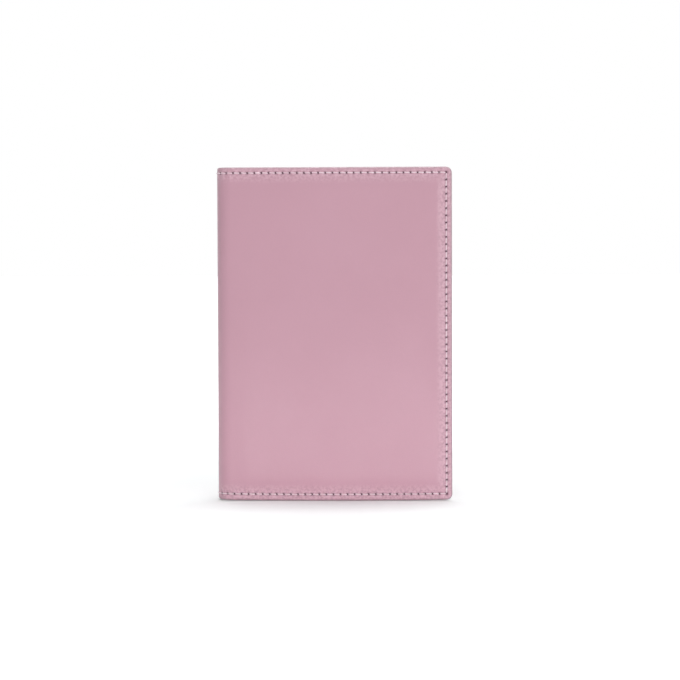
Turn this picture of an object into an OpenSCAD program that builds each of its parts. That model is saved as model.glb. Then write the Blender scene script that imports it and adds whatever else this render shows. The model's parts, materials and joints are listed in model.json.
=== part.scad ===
// Leather passport holder, standing slightly open on its lower edges like a card.
// Millimetres. +Z is up, the front cover faces -Y and the rolled spine is on the -X side.
// Every cover piece is drawn closed, in a cover frame whose Y runs inwards from the padded face,
// and is then turned about the two fold lines into the standing pose.

/* [Cover] */
// Height of the holder
cover_h = 140; // [136:1:150]
// Width of the closed holder, from the spine to the free edge
cover_w = 97.7; // [97:0.1:110]
// Radius of the rounded corners on the free side
corner_r = 2.6; // [2.6:0.1:4.5]
// Outside radius of the rolled spine of the closed holder
spine_r = 5; // [4.8:0.1:6.5]
// Angle between the covers as the holder stands
rest_angle = 30; // [0:1:90]

/* [Layers] */
// Thickness of the outer leather
leather_t = 1; // [0.8:0.05:1.2]
// How far the padded panel stands above the sewn border
panel_rise = 0.45; // [0.3:0.05:0.6]
// Thickness of the foam under the panel
foam_t = 0.4; // [0.3:0.05:0.6]
// Thickness of the stiffener board
board_t = 0.8; // [0.6:0.05:1]
// Thickness of the lining
lining_t = 0.4; // [0.3:0.05:0.5]
// Thickness of a pocket panel
pocket_t = 0.7; // [0.5:0.05:0.8]
// Room inside a pocket
pocket_gap = 0.5; // [0.4:0.05:0.6]
// Thickness of a card slot leaf
card_leaf_t = 0.45; // [0.3:0.05:0.5]

/* [Pockets] */
// Width of the passport sleeve on the back cover
sleeve_w = 60; // [45:1:75]
// Height of the lowest card slot's mouth
card_mouth_low = 70; // [60:1:76]
// Step from one card slot's mouth to the next
card_step = 14; // [10:1:16]

/* [Stitching] */
// Length of one stitch, hole to hole
stitch_pitch = 3; // [2.5:0.1:4]
// Distance of the perimeter seam from the edge
seam_inset = 2.3; // [2:0.1:3]
// Radius of the sewing thread
thread_r = 0.26; // [0.2:0.02:0.34]

/* [Hidden] */
$fn = 48;

dusty_pink = [0.79, 0.62, 0.67];
lining_pink = [0.72, 0.55, 0.60];
thread_pink = [0.92, 0.80, 0.84];
foam_white = [0.93, 0.92, 0.88];
board_grey = [0.62, 0.58, 0.52];

// Depths in the cover frame, counted inwards from the padded face
foam_y = leather_t;
board_y = foam_y + foam_t;
lining_y = board_y + board_t;
pocket_y = lining_y + lining_t;
panel_y = pocket_y + pocket_gap;
card_y = panel_y + pocket_t;
leaf_count = 3;
card_top_y = card_y + leaf_count * card_leaf_t;

// Half of the closed thickness at the padded faces
half_t = spine_r + panel_rise;

// Plan sizes of the layers
border_w = 4.6;
panel_margin = 3.4;
panel_corner_r = 1.8;
layer_clear = 0.15;
lining_margin = 1;
lining_inset = 1.3;
pocket_inset = 1.6;
pocket_rim = 4.2;
slip_margin = 2.6;
leaf_margin = 3.4;
leaf_lap = 48;
slip_mouth_x = spine_r + slip_margin;
leaf_spine_x = spine_r + leaf_margin;
sleeve_mouth_x = cover_w - sleeve_w;
mouth_seam_inset = 2.2;
seam_margin = 1;
cut_over = 1;

// The spine is a rigid strip between two fold lines, each fold_half degrees from its middle
fold_half = 45;
fold_gap = 0.12;
fold_r = spine_r - leather_t / 2;
roll_centre = [spine_r, 0];
lip_cut = asin((leather_t / 2 + fold_gap) / fold_r);
front_fold = roll_centre + fold_r * [-cos(fold_half), -sin(fold_half)];
back_fold = roll_centre + fold_r * [-cos(fold_half), sin(fold_half)];
tape_t = 0.2;
tape_half = 38;
spine_lining_half = 35;
tape_inset = 6;
bar_share = 0.74;
leg_share = 0.8;

function turned(p, centre, angle) =
    let (d = p - centre)
    centre + [d.x * cos(angle) - d.y * sin(angle), d.x * sin(angle) + d.y * cos(angle)];

function on_spine_point(p) = turned(p, front_fold, rest_angle / 2);
function on_back_point(p) = on_spine_point(turned(p, back_fold, rest_angle / 2));

// The standing box, measured on the rolled edges, puts the origin at its bottom centre
edge_r = (lining_y - panel_rise) / 2;
back_edge = on_back_point([cover_w - edge_r, spine_r - edge_r]);
back_panel_edge = on_back_point([cover_w - border_w - panel_rise, half_t - panel_rise]);
box_left = on_spine_point(roll_centre).x - spine_r;
box_right = max(cover_w, back_edge.x + edge_r);
box_front = -half_t;
box_back = max(back_edge.y + edge_r, back_panel_edge.y + panel_rise);
origin_shift = [-(box_left + box_right) / 2, -(box_front + box_back) / 2, 0];

echo(front_fold_axis = front_fold + [origin_shift.x, origin_shift.y]);
echo(back_fold_axis = on_spine_point(back_fold) + [origin_shift.x, origin_shift.y]);
echo(front_face = [(spine_r + cover_w) / 2 + origin_shift.x, box_front + origin_shift.y]);
echo(back_face = on_back_point([(spine_r + cover_w) / 2, half_t]) + [origin_shift.x, origin_shift.y]);
echo(slip_mouth = [slip_mouth_x, panel_y - half_t - pocket_gap / 2] + [origin_shift.x, origin_shift.y]);
echo(card_mouth = [(leaf_spine_x + cover_w) / 2, card_y - half_t] + [origin_shift.x, origin_shift.y],
    leaf_t = card_leaf_t, mouths = [for (i = [0 : leaf_count - 1]) leaf_mouth(i)]);
echo(front_inside = card_top_y - half_t + origin_shift.y, origin_shift = origin_shift);
echo(back_inside = [for (x = [sleeve_mouth_x, cover_w])
    on_back_point([x, half_t - card_y]) + [origin_shift.x, origin_shift.y]]);
echo(sleeve_mouth = on_back_point([sleeve_mouth_x, half_t - panel_y + pocket_gap / 2])
    + [origin_shift.x, origin_shift.y]);
echo(box = [box_right - box_left, box_back - box_front, cover_h]);

// Poses of the three bodies
module on_front() {
    translate(origin_shift) translate([0, -half_t, 0]) children();
}

module turn_about(point, angle) {
    translate([point.x, point.y, 0]) rotate(angle) translate([-point.x, -point.y, 0]) children();
}

module on_spine() {
    translate(origin_shift) turn_about(front_fold, rest_angle / 2) children();
}

module on_back() {
    on_spine() turn_about(back_fold, rest_angle / 2)
        mirror([0, 1, 0]) translate([0, -half_t, 0]) children();
}

// Flat shape in X and Z with round corners on the free side, y deep
module slab(x, z, y, r) {
    translate([0, y[1], 0]) rotate([90, 0, 0]) linear_extrude(y[1] - y[0]) {
        translate([x[0], z[0]]) square([x[1] - r - x[0], z[1] - z[0]]);
        translate([x[1] - r, z[0] + r]) square([r, z[1] - z[0] - 2 * r]);
        for (corner_z = [z[0] + r, z[1] - r])
            translate([x[1] - r, corner_z]) circle(r);
    }
}

// Half of a disc, on the +X side
module half_disc(r) {
    intersection() {
        circle(r);
        translate([0, -2 * r]) square([2 * r, 4 * r]);
    }
}

// Bar of a given length whose far edge is half round, of radius r
module half_round(length, r) {
    translate([0, -r]) square([length, 2 * r]);
    translate([length, 0]) half_disc(r);
}

// Panel whose upper, lower and free edges are half round over its whole thickness
module rolled_panel(x, z, y, r_corner) {
    r = (y[1] - y[0]) / 2;
    mid_y = (y[0] + y[1]) / 2;
    mid_z = (z[0] + z[1]) / 2;
    near_x = x[1] - r_corner;
    half_h = (z[1] - z[0]) / 2;
    for (side = [0, 1])
        translate([x[0], mid_y, mid_z]) mirror([0, 0, side])
            rotate([90, 0, 90]) linear_extrude(near_x - x[0]) rotate(90) half_round(half_h - r, r);
    translate([near_x, mid_y, z[0] + r_corner])
        linear_extrude(z[1] - z[0] - 2 * r_corner) half_round(r_corner - r, r);
    for (side = [0, 1])
        translate([near_x, mid_y, mid_z]) mirror([0, 0, side])
            translate([0, 0, half_h - r_corner])
                rotate([90, 0, 0]) rotate_extrude(angle = 90) half_round(r_corner - r, r);
}

// Part of the spine's roll between two angles, radius in to out, in the closed plan
module roll_arc(angles, radii, z) {
    translate([roll_centre.x, roll_centre.y, 0]) rotate(angles[0])
        rotate_extrude(angle = angles[1] - angles[0])
            translate([radii[0], z[0]]) square([radii[1] - radii[0], z[1] - z[0]]);
}

// Outer leather of one cover: sewn border, padded panel, recess behind it and the lip at the fold
module cover_leather() {
    difference() {
        union() {
            rolled_panel([spine_r, cover_w], [0, cover_h], [panel_rise, lining_y], corner_r);
            padded_panel();
            fold_lip();
        }
        recess();
    }
}

module padded_panel() {
    z = [border_w, cover_h - border_w];
    x = [spine_r + panel_margin, cover_w - border_w];
    rolled_panel([x[0], x[1]], z, [0, 2 * panel_rise], panel_corner_r);
    translate([x[0], panel_rise, z[0] + panel_rise])
        cylinder(r = panel_rise, h = z[1] - z[0] - 2 * panel_rise);
}

module recess() {
    x = [spine_r + panel_margin, cover_w - border_w - panel_rise];
    z = [border_w + panel_rise, cover_h - border_w - panel_rise];
    slab(x, z, [foam_y, lining_y + cut_over], panel_corner_r);
}

// The hide curls on from the cover towards the spine, up to the gap at the fold line
module fold_lip() {
    translate([roll_centre.x, half_t, 0]) rotate(270) mirror([0, 1, 0])
        rotate_extrude(angle = fold_half - lip_cut)
            translate([spine_r - leather_t, 0]) square([leather_t, cover_h]);
}

// A sheet that lies in the recess, from y[0] to y[1]
module recess_sheet(y) {
    x = [spine_r + panel_margin + layer_clear, cover_w - border_w - panel_rise - layer_clear];
    z_low = border_w + panel_rise + layer_clear;
    slab(x, [z_low, cover_h - z_low], y, panel_corner_r);
}

module cover_foam() {
    recess_sheet([foam_y, board_y]);
}

module cover_board() {
    recess_sheet([board_y, lining_y]);
}

module cover_lining() {
    x = [spine_r + lining_margin, cover_w - lining_inset];
    slab(x, [lining_inset, cover_h - lining_inset], [lining_y, pocket_y], corner_r - lining_inset);
}

// Pocket panel with a sewn rim on three sides and its mouth towards the spine
module pocket_panel(mouth_x) {
    z = [pocket_inset, cover_h - pocket_inset];
    difference() {
        slab([mouth_x, cover_w - pocket_inset], z, [pocket_y, card_y], panel_corner_r);
        slab([mouth_x - cut_over, cover_w - pocket_inset - pocket_rim],
            [z[0] + pocket_rim, z[1] - pocket_rim], [pocket_y - cut_over, panel_y], panel_corner_r);
    }
}

// Card leaf number 0 is the highest and lies against the pocket
function leaf_mouth(i) = card_mouth_low + (leaf_count - 1 - i) * card_step;
function leaf_bottom(i) = i == leaf_count - 1 ? pocket_inset : leaf_mouth(i) - leaf_lap;

module card_leaf(i) {
    y = card_y + i * card_leaf_t;
    slab([leaf_spine_x, cover_w - pocket_inset], [leaf_bottom(i), leaf_mouth(i)],
        [y, y + card_leaf_t], panel_corner_r / 2);
}

// One stitch along X: a bar on each face and the thread that joins them through the layers
module stitch(pitch, y_out, y_in) {
    bar = bar_share * pitch;
    for (y = [y_out, y_in])
        translate([-bar / 2, y, 0]) rotate([0, 90, 0]) cylinder(r = thread_r, h = bar);
    translate([bar / 2 - thread_r, y_out, 0]) rotate([-90, 0, 0])
        cylinder(r = leg_share * thread_r, h = y_in - y_out);
}

function stitch_count(length) = round(length / stitch_pitch);

// Depth of the innermost layer that a seam goes through, on each cover
function front_seam_depth(x, z) =
    x < slip_mouth_x ? pocket_y :
    x < leaf_spine_x ? card_y :
    card_y + leaves_at(z) * card_leaf_t;
function leaves_at(z) = len([for (i = [0 : leaf_count - 1]) if (z < leaf_mouth(i)) i]);
function back_seam_depth(x) = x < sleeve_mouth_x ? pocket_y : card_y;
function seam_depth(front, x, z) = front ? front_seam_depth(x, z) : back_seam_depth(x);

// Perimeter seam of one cover, along the lower, free and upper edges
module perimeter_seam(front) {
    x = [spine_r + seam_margin, cover_w - seam_inset];
    z = [seam_inset, cover_h - seam_inset];
    nx = stitch_count(x[1] - x[0]);
    px = (x[1] - x[0]) / nx;
    for (i = [0 : nx - 1], edge_z = z) {
        sx = x[0] + (i + 0.5) * px;
        translate([sx, 0, edge_z]) stitch(px, panel_rise, seam_depth(front, sx, edge_z));
    }
    upright_seam(front, x[1], panel_rise, z);
}

// Straight seam that runs up a cover at x
module upright_seam(front, x, y_out, z) {
    n = stitch_count(z[1] - z[0]);
    pitch = (z[1] - z[0]) / n;
    for (i = [0 : n - 1]) {
        sz = z[0] + (i + 0.5) * pitch;
        translate([x, 0, sz]) rotate([0, -90, 0]) stitch(pitch, y_out, seam_depth(front, x, sz));
    }
}

// Front cover
module front_outer_leather() { color(dusty_pink) on_front() cover_leather(); }
module front_foam_padding() { color(foam_white) on_front() cover_foam(); }
module front_stiffener_board() { color(board_grey) on_front() cover_board(); }
module front_lining() { color(lining_pink) on_front() cover_lining(); }
module front_slip_pocket() { color(dusty_pink) on_front() pocket_panel(slip_mouth_x); }
module card_slot_upper() { color(dusty_pink) on_front() card_leaf(0); }
module card_slot_middle() { color(dusty_pink) on_front() card_leaf(1); }
module card_slot_lower() { color(dusty_pink) on_front() card_leaf(2); }
module front_seam_thread() { color(thread_pink) on_front() perimeter_seam(true); }

// The seam at the slip pocket's mouth also holds the spine side of the card leaves
module slip_pocket_thread() {
    z = [pocket_inset + pocket_rim, cover_h - pocket_inset - pocket_rim];
    color(thread_pink) on_front()
        upright_seam(true, leaf_spine_x + mouth_seam_inset, panel_y, z);
}

// Spine
module spine_outer_leather() {
    color(dusty_pink) on_spine()
        translate([roll_centre.x, roll_centre.y, 0]) rotate(180 - fold_half) {
            rotate_extrude(angle = 2 * fold_half)
                translate([spine_r - leather_t, 0]) square([leather_t, cover_h]);
            translate([fold_r, 0, 0]) rotate(270) linear_extrude(cover_h) half_disc(leather_t / 2);
            rotate(2 * fold_half) translate([fold_r, 0, 0]) rotate(90)
                linear_extrude(cover_h) half_disc(leather_t / 2);
        }
}

module spine_tape() {
    r_out = spine_r - leather_t;
    color(foam_white) on_spine()
        roll_arc([180 - tape_half, 180 + tape_half], [r_out - tape_t, r_out],
            [tape_inset, cover_h - tape_inset]);
}

module spine_lining() {
    r_out = spine_r - leather_t - tape_t;
    color(lining_pink) on_spine()
        roll_arc([180 - spine_lining_half, 180 + spine_lining_half], [r_out - lining_t, r_out],
            [lining_inset, cover_h - lining_inset]);
}

// The perimeter seam goes on round the spine, above and below
module spine_seam_thread() {
    n = 2;
    step = stitch_pitch / fold_r * 180 / PI;
    bar = bar_share * step;
    r_in = spine_r - leather_t - tape_t - lining_t;
    color(thread_pink) on_spine()
        for (i = [0 : n - 1], z = [seam_inset, cover_h - seam_inset])
            translate([roll_centre.x, roll_centre.y, z])
                rotate(180 + (i - n / 2 + 0.5) * step - bar / 2) {
                    for (r = [spine_r - thread_r, r_in])
                        rotate_extrude(angle = bar) translate([r, 0]) circle(thread_r);
                    rotate([0, 90, bar / 2]) translate([0, 0, r_in])
                        cylinder(r = leg_share * thread_r, h = spine_r - thread_r - r_in);
                }
}

// Back cover
module back_outer_leather() { color(dusty_pink) on_back() cover_leather(); }
module back_foam_padding() { color(foam_white) on_back() cover_foam(); }
module back_stiffener_board() { color(board_grey) on_back() cover_board(); }
module back_lining() { color(lining_pink) on_back() cover_lining(); }
module back_passport_sleeve() { color(dusty_pink) on_back() pocket_panel(sleeve_mouth_x); }
module back_seam_thread() { color(thread_pink) on_back() perimeter_seam(false); }

module sleeve_mouth_thread() {
    z = [pocket_inset + pocket_rim, cover_h - pocket_inset - pocket_rim];
    color(thread_pink) on_back()
        upright_seam(false, sleeve_mouth_x + mouth_seam_inset, panel_y, z);
}

front_outer_leather();
front_foam_padding();
front_stiffener_board();
front_lining();
front_slip_pocket();
card_slot_upper();
card_slot_middle();
card_slot_lower();
front_seam_thread();
slip_pocket_thread();
spine_outer_leather();
spine_tape();
spine_lining();
spine_seam_thread();
back_outer_leather();
back_foam_padding();
back_stiffener_board();
back_lining();
back_passport_sleeve();
back_seam_thread();
sleeve_mouth_thread();
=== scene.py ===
# %% [markdown]
# # A padded leather passport holder
# The holder is two padded leather covers on one rolled spine, sewn round with pale thread. It stands open
# by 30 degrees. The solids already say where each layer lies, so this lesson dresses them: each layer is
# made as a flat sheet first, as on a cutting table, and is then bent round the spine.

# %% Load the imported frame
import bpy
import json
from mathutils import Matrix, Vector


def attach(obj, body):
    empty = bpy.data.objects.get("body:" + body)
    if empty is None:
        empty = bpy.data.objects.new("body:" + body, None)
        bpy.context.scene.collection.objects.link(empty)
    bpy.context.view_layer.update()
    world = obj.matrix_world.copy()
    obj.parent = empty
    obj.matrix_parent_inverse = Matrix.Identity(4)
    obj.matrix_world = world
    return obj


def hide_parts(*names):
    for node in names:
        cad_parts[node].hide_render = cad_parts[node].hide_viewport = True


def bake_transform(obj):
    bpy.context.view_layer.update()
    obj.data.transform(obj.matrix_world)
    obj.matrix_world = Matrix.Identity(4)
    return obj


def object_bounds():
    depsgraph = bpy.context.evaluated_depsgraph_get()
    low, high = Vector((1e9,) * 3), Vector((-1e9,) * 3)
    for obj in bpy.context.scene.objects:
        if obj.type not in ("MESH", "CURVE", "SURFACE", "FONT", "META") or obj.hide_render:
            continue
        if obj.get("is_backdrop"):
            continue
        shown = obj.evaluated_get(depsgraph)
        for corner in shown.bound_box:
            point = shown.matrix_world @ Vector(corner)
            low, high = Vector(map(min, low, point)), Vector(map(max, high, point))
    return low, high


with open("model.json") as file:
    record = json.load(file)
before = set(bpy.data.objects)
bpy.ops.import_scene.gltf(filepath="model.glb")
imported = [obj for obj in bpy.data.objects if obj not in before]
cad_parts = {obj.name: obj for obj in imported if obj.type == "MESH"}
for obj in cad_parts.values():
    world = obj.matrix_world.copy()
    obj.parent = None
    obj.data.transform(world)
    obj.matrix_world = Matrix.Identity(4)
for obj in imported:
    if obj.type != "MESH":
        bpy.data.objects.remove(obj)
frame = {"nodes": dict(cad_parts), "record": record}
cad_low, cad_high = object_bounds()

# %% Tools and units
import json
import math

import bmesh
import bpy
import numpy as np
from mathutils import Quaternion, Vector

MM = 0.001  # the layers are drawn in millimetres and become metres when a mesh is made


def ease(t):
    """A smooth step from 0 to 1."""
    t = np.clip(t, 0, 1)
    return t * t * (3 - 2 * t)


def bump_at(t, width):
    """A bell of height 1 at t = 0."""
    return np.exp(-((t / width) ** 2))


def node_points(node):
    """The points of a solid, in millimetres."""
    return np.array([v.co for v in frame["nodes"][node].data.vertices]) / MM


# %% [markdown]
# ## The roll of the spine
# On the real holder the hide is one sheet that rolls round the spine in a plain arc. An arc that touches
# the front plane, the back plane and the left side of the solids has only one radius, so it is worked out
# from them and not chosen. A place on the hide is given by s, the way along the hide from the middle of the
# spine, by its depth below the border's outer face, and by z.

# %% Measure the covers and the roll
PANEL_RISE = 0.45  # how far the solids' padded panel stands above the sewn border
FRONT_ANGLE = 1.5 * math.pi  # where the roll meets the front plane, seen from above
front_hide = node_points("front_outer_leather")
border_y = front_hide[:, 1].min() + PANEL_RISE
free_x = front_hide[:, 0].max()
height = front_hide[:, 2].max()
spine_x = node_points("spine_outer_leather")[:, 0].min()

mounts = {mount["name"]: mount for mount in frame["record"]["mounts"]}
back_face = mounts["back_panel_face"]
back_normal = np.array(back_face["axis"][:2])
back_reach = back_normal @ np.array(back_face["pos_m"][:2]) / MM - PANEL_RISE

roll_r = (back_reach - back_normal @ np.array([spine_x, border_y])) / (1 + back_normal.sum())
roll_centre = np.array([spine_x + roll_r, border_y + roll_r])
opening = math.asin(-back_normal[0])
half_turn = (math.pi - opening) / 2
roll_s = roll_r * half_turn
half_s = roll_s + free_x - roll_centre[0]
middle_angle = FRONT_ANGLE - half_turn
middle = np.array([math.cos(middle_angle), math.sin(middle_angle)])
print(f"roll radius {roll_r:.2f} mm, hide from mid spine to free edge {half_s:.2f} mm")


# %% Bend a flat layer round the holder
CORNER_LIFT, LIFT_FADE = 0.4, 15.0  # the lower edge rises at both of its ends; with height this fades


def bent(flat):
    """Points of s, depth and z become points of the front half, in millimetres."""
    s, depth, z = np.asarray(flat, float).T
    z = z + CORNER_LIFT * (2 * s / half_s - 1) ** 2 * (1 - ease(z / LIFT_FADE))
    angle = FRONT_ANGLE - (roll_s - s) / roll_r
    on_cover = s >= roll_s
    x = np.where(on_cover, s - roll_s, (roll_r - depth) * np.cos(angle)) + roll_centre[0]
    y = np.where(on_cover, depth - roll_r, (roll_r - depth) * np.sin(angle)) + roll_centre[1]
    return np.column_stack((x, y, z))


def mirrored(points):
    """The front half becomes the back half, across the plane through the middle of the spine."""
    out = np.array(points, float)
    away = out[:, :2] - roll_centre
    out[:, :2] = roll_centre + 2 * np.outer(away @ middle, middle) - away
    return out


def flat_box(node, back=False):
    """The lowest and highest s, depth and z of a solid on a cover."""
    points = mirrored(node_points(node)) if back else node_points(node)
    start = np.array([roll_centre[0] - roll_s, border_y, 0])
    return (points - start).min(0), (points - start).max(0)


def box_rect(low, high):
    """The rectangle of s and z that a flat box covers."""
    return low[0], high[0], low[2], high[2]


# %% [markdown]
# ## How a layer is cut
# Every layer is a rounded rectangle with a rolled edge, so one class cuts them all. Rings follow the edge
# closely, where the stitches pull the leather, and a wider grid fills the middle. A subdivided plane would
# need as many points everywhere. A layer that crosses the spine is cut in two halves, one for each cover,
# and each stays open on that side and is capped there.

# %% The ring at one inset
FINE = 4  # ring points for each step of the grid
CORNER_STEPS = 6
CORNER_TIGHTENS = 1.25  # a corner's radius shrinks this much for each millimetre further in
LEAST_CORNER = 0.12


def fine_cuts(cuts):
    """Each step of the grid, split into the ring's smaller steps."""
    return np.interp(np.arange(FINE * (len(cuts) - 1) + 1) / FINE, np.arange(len(cuts)), cuts)


def quarter(centre, r, start_deg):
    """The points inside a quarter turn, clockwise."""
    angles = np.radians(start_deg - 90 * np.arange(1, CORNER_STEPS) / CORNER_STEPS)
    return np.column_stack((centre[0] + r * np.cos(angles), centre[1] + r * np.sin(angles)))


def ring(rect, corner, inset, across, up, open_left):
    """One ring of s and z, clockwise from the left end of the upper side."""
    s0, s1, z0, z1 = rect
    r = max(corner - CORNER_TIGHTENS * inset, LEAST_CORNER)
    left, right, low, high = s0 + inset, s1 - inset, z0 + inset, z1 - inset
    start = s0 if open_left else left + r
    s = start + across * (right - r - start)
    z = low + r + up * (high - low - 2 * r)
    sides = [
        np.column_stack((s, np.full_like(s, high))),
        quarter((right - r, high - r), r, 90),
        np.column_stack((np.full_like(z, right), z[::-1])),
        quarter((right - r, low + r), r, 0),
        np.column_stack((s[::-1], np.full_like(s, low))),
    ]
    if not open_left:
        sides += [
            quarter((left + r, low + r), r, -90),
            np.column_stack((np.full_like(z, left), z)),
            quarter((left + r, high - r), r, 180),
        ]
    return np.vstack(sides)


# %% The rows of rings, the grids and the faces between them
GRID_STEP = 1.5
GRID_GAP = 1.2  # from the innermost ring to the grid


def even_cuts(length):
    return np.linspace(0, 1, max(2, round(length / GRID_STEP)) + 1)


class Layer:
    """A cut layer: its points as s, lift and z, the inset of each point, and its faces."""

    def __init__(self, rect, corner, rows, across=None, up=None, open_left=False):
        self.rect, self.open_left = rect, open_left
        self.across = even_cuts(rect[1] - rect[0]) if across is None else across
        self.up = even_cuts(rect[3] - rect[2]) if up is None else up
        self.s_z, self.insets, self.lifts, self.faces = [], [], [], []
        fine = fine_cuts(self.across), fine_cuts(self.up)
        rings = [self.add(ring(rect, corner, inset, *fine, open_left), inset, lift) for inset, lift in rows]
        for outer, inner in zip(rings, rings[1:]):
            self.join(outer, inner)
        face, rear = self.grid(*rows[0]), self.grid(*rows[-1])
        self.fill(rings[0], face)
        self.fill(rings[-1], rear)
        if open_left:
            upper = [r[0] for r in rings]
            lower = [r[-1] for r in reversed(rings)]
            self.faces.append(upper + list(rear[0, ::-1]) + lower + list(face[0]))
        self.s, self.z = np.array(self.s_z).T
        self.inset, self.lift = np.array(self.insets), np.array(self.lifts)

    def add(self, s_z, inset, lift):
        """Adds points and gives their numbers."""
        first = len(self.s_z)
        self.s_z.extend(s_z)
        self.insets.extend([inset] * len(s_z))
        self.lifts.extend([float(lift)] * len(s_z))
        return list(range(first, len(self.s_z)))

    def join(self, outer, inner):
        """Faces between two rings."""
        steps = len(outer) - 1 if self.open_left else len(outer)
        for k in range(steps):
            n = (k + 1) % len(outer)
            self.faces.append([outer[k], outer[n], inner[n], inner[k]])

    def grid(self, inset, lift):
        s0, s1, z0, z1 = self.rect
        room = inset + GRID_GAP
        start = s0 if self.open_left else s0 + room
        s = start + self.across * (s1 - room - start)
        z = z0 + room + self.up * (z1 - z0 - 2 * room)
        s_z = np.array([(a, b) for a in s for b in z])
        index = np.array(self.add(s_z, room, lift)).reshape(len(s), len(z))
        for i in range(len(s) - 1):
            for j in range(len(z) - 1):
                self.faces.append([index[i, j], index[i + 1, j], index[i + 1, j + 1], index[i, j + 1]])
        return index

    def fill(self, outer, index):
        """Faces between the innermost ring and the rim of a grid."""
        rims = [index[:, -1], index[-1, ::-1], index[::-1, 0]]
        rims += [] if self.open_left else [index[0]]
        at = 0
        for rim in rims:
            for j in range(len(rim) - 1):
                span = outer[at + FINE * j: at + FINE * (j + 1) + 1]
                self.faces.append(span + [rim[j + 1], rim[j]])
            at += FINE * (len(rim) - 1)
            turn = outer[at: at + CORNER_STEPS + 1]
            if len(turn) > 1:
                wrap = [outer[0]] if len(turn) <= CORNER_STEPS else []
                self.faces.append(turn + wrap + [rim[-1]])
            at += CORNER_STEPS


# %% The rows that a layer is cut in
FACE, REAR, UNDERSIDE = 0, 1, 2  # lifts: the face, the back, and the thin hide's back inside its hem
EDGE_STEPS, THIN_STEPS, HIDE_STEPS = 6, 4, 10  # round the edge of a pocket, of cloth and of the hide


def rolled_edge(thickness, steps=EDGE_STEPS, reach=None):
    """Rows of inset and lift round an edge. On the face the roll starts at the reach."""
    turn = np.linspace(0, math.pi, steps + 1)
    width = np.where(turn < math.pi / 2, reach or thickness / 2, thickness / 2)
    return list(zip(width * (1 - np.sin(turn)), (1 - np.cos(turn)) / 2))


def layer_rows(face_insets, edge, rear_insets):
    """Rows over the face, round the edge and over the back."""
    return [(inset, FACE) for inset in face_insets] + edge + [(inset, REAR) for inset in rear_insets]


# %% Make a mesh from a layer
SHARP_DEG = 55  # a wider turn between two faces stays a sharp edge


def add_object(name, data):
    """A new object in the scene."""
    thing = bpy.data.objects.new(name, data)
    bpy.context.scene.collection.objects.link(thing)
    return thing


def make_piece(name, flat, faces, back=False, masks=None):
    """Bends flat points round the holder and makes them one closed, smooth mesh."""
    points = mirrored(bent(flat)) if back else bent(flat)
    mesh = bpy.data.meshes.new(name)
    mesh.from_pydata(points * MM, [], [[int(i) for i in face] for face in faces])
    shape = bmesh.new()
    shape.from_mesh(mesh)
    bmesh.ops.recalc_face_normals(shape, faces=shape.faces)
    shape.to_mesh(mesh)
    shape.free()
    mesh.shade_smooth()
    mesh.set_sharp_from_angle(angle=math.radians(SHARP_DEG))
    hide = mesh.attributes.new("hide", "FLOAT_VECTOR", "POINT")
    hide.data.foreach_set("vector", (np.asarray(flat)[:, [0, 2, 1]] * MM).astype(np.float32).ravel())
    for mask, values in (masks or {}).items():
        attribute = mesh.attributes.new(mask, "FLOAT", "POINT")
        attribute.data.foreach_set("value", np.asarray(values, np.float32))
    piece = add_object(name, mesh)
    print(f"{name}: {len(mesh.vertices)} points, {len(mesh.polygons)} faces")
    return piece


def make_layer(name, layer, depth, back=False, masks=None):
    """Makes a cut layer a mesh, with the depth of each of its points."""
    return make_piece(name, np.column_stack((layer.s, depth, layer.z)), layer.faces, back, masks)


# %% [markdown]
# ## What carries a layer
# A layer on one cover rides on that cover. The hide, the lining, the tape and the seam also cross the
# spine. They are cut in two halves that stay where they are made; the ends of a turn from the spine to the
# cover are worked out, but nothing uses them.

# %% Ride on a cover
BLEND_REACH = 10.5  # how far a turn from spine to cover would spread; its ends are worked out but not used
BLEND_DEG = -40  # and which way, in degrees from +x


def carry(piece, back, slot, *nodes, crosses_spine=False):
    """Puts a piece on its cover and hides the solids that it stands for. A piece that crosses the spine
    stays where it is. The slot is not used.
    """
    cover = "back_cover" if back else "front_cover"
    if crosses_spine:
        start = np.append(roll_centre + roll_r * middle, 0)
        way = np.array([math.cos(math.radians(BLEND_DEG)), math.sin(math.radians(BLEND_DEG)), 0])
        ends = np.array([start, start + BLEND_REACH * way])
        ends = (mirrored(ends) if back else ends) * MM
        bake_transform(piece)
    else:
        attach(piece, cover)
    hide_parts(*nodes)
    return piece


# %% [markdown]
# ## Where the seam runs
# The seam goes along the upper, free and lower edges, with a needle hole in each corner. Both the leather
# and its finish need to know how far a point is from the seam and how many stitches along it lies, so these
# two numbers are worked out once for any point.

# %% Seam coordinates
SEAM_INSET, LOW_SEAM_INSET = 2.4, 2.75  # from the edge, and from the lower edge
STITCH = 3.0
FAR = 1e3  # further than any seam
seam_s, seam_low, seam_high = half_s - SEAM_INSET, LOW_SEAM_INSET, height - SEAM_INSET
stitches_s = round(seam_s / STITCH)
stitches_z = round((seam_high - seam_low) / STITCH)
pitch_s = seam_s / stitches_s
pitch_z = (seam_high - seam_low) / stitches_z


def seam_place(s, z, upright=None):
    """How many stitches along the nearest seam a point lies, and how far inside of it.

    Upright is one more seam: its s, its lowest z and its highest z."""
    ways = [
        (s / pitch_s, seam_high - z),
        (stitches_s + (seam_high - z) / pitch_z, seam_s - s),
        (stitches_s + stitches_z + (seam_s - s) / pitch_s, z - seam_low),
    ]
    if upright is not None:
        at, low, high = upright
        beside = np.where((z > low - STITCH) & (z < high + STITCH), s - at, FAR)
        ways.append(((z - seam_low) / pitch_z, beside))
    along, across = (np.array(column) for column in zip(*ways))
    nearest = np.abs(across).argmin(0)
    pick = nearest, np.arange(len(s))
    return along[pick], across[pick]


print(f"{stitches_s} stitches of {pitch_s:.2f} mm across, {stitches_z} of {pitch_z:.2f} mm up")

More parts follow.
